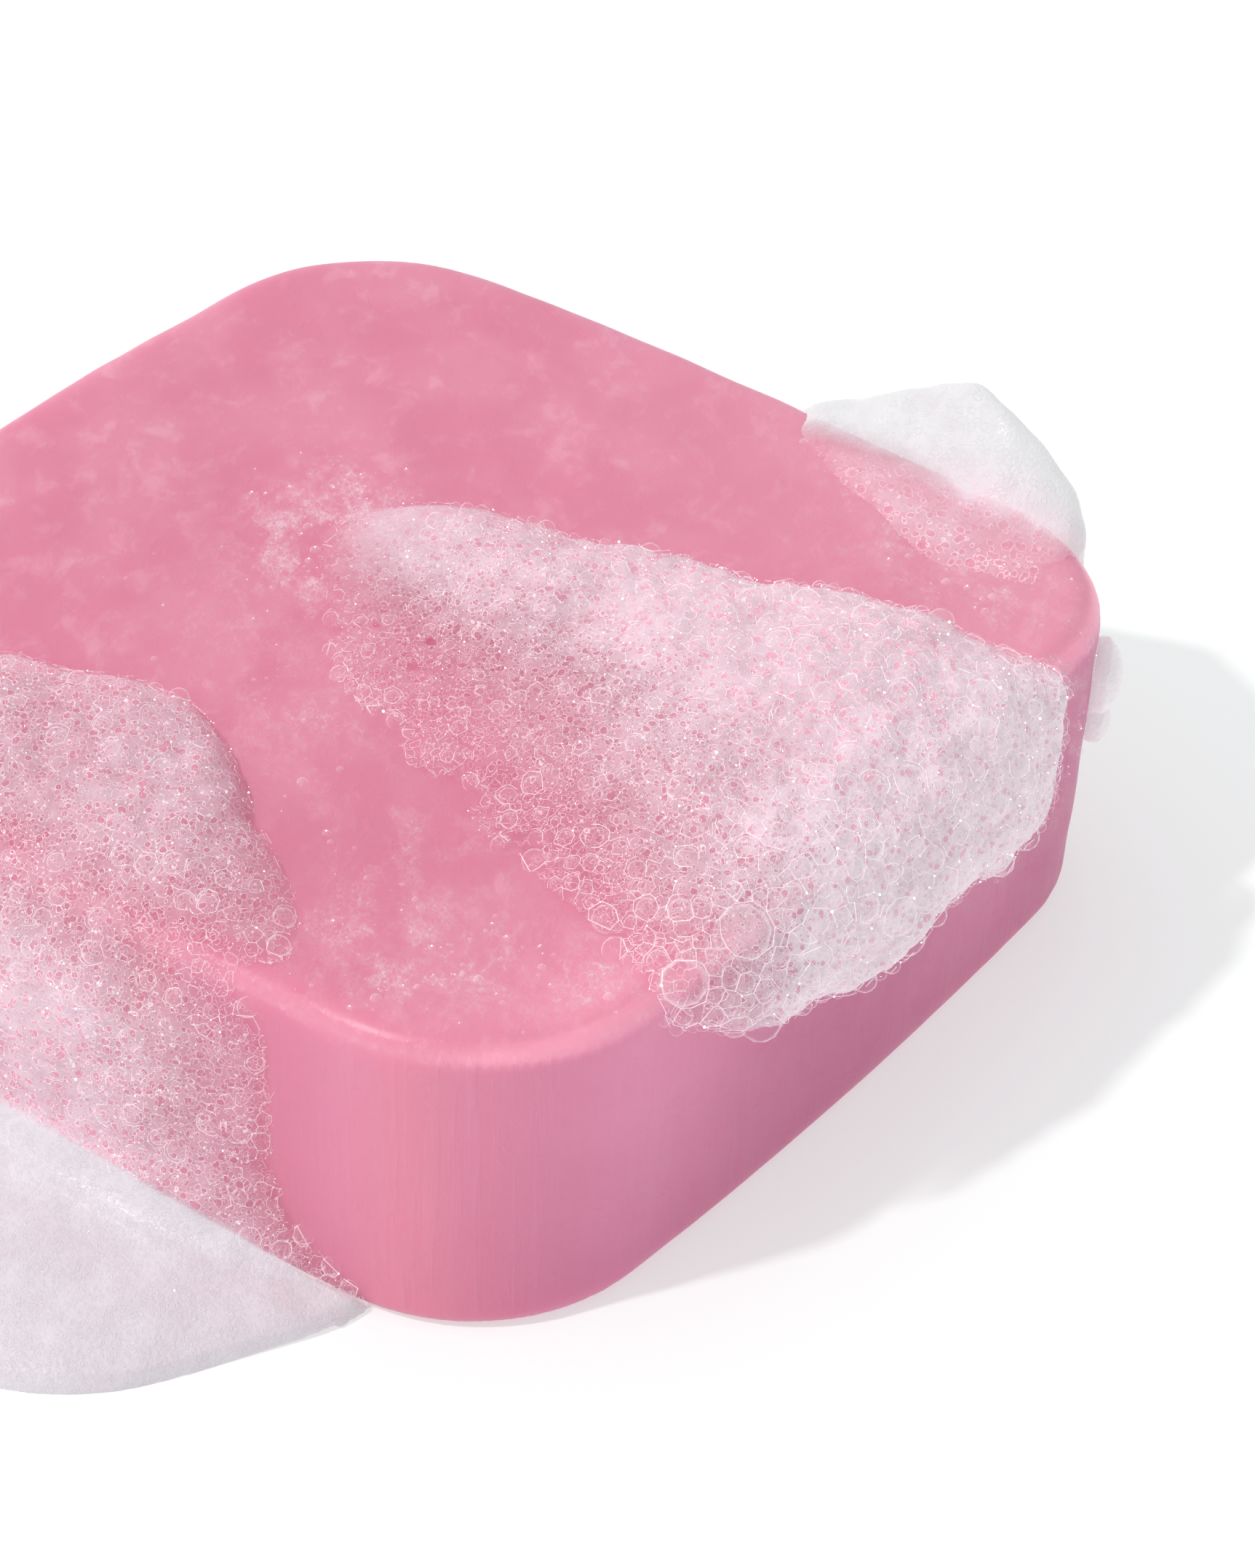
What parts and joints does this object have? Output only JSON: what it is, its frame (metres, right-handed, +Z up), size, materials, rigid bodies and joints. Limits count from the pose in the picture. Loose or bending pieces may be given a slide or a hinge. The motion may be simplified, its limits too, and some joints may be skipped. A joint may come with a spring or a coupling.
{
  "type": "shampoo bar with lather",
  "caption": "Square solid shampoo cake with round corners and softly worn edges, wet from use, with heaps of lather on its top and sides",
  "frame": {"origin": "the middle of the flat base that the cake rests on", "axes": "+Z up, the cake's sides face along X and Y; the large heap hangs over the +X side and the lather on the floor is on the -Y side"},
  "size_m": [0.0646, 0.0811, 0.0239],
  "materials": {
    "cake": "waxy, wet, softly glossy",
    "lather": "wet foam of fine bubbles"
  },
  "bodies": {
    "root": {"shampoo_bar": "cake", "lather_mound": "lather", "lather_spill": "lather", "lather_back": "lather", "lather_corner": "lather", "lather_film": "lather"}
  },
  "joints": []
}
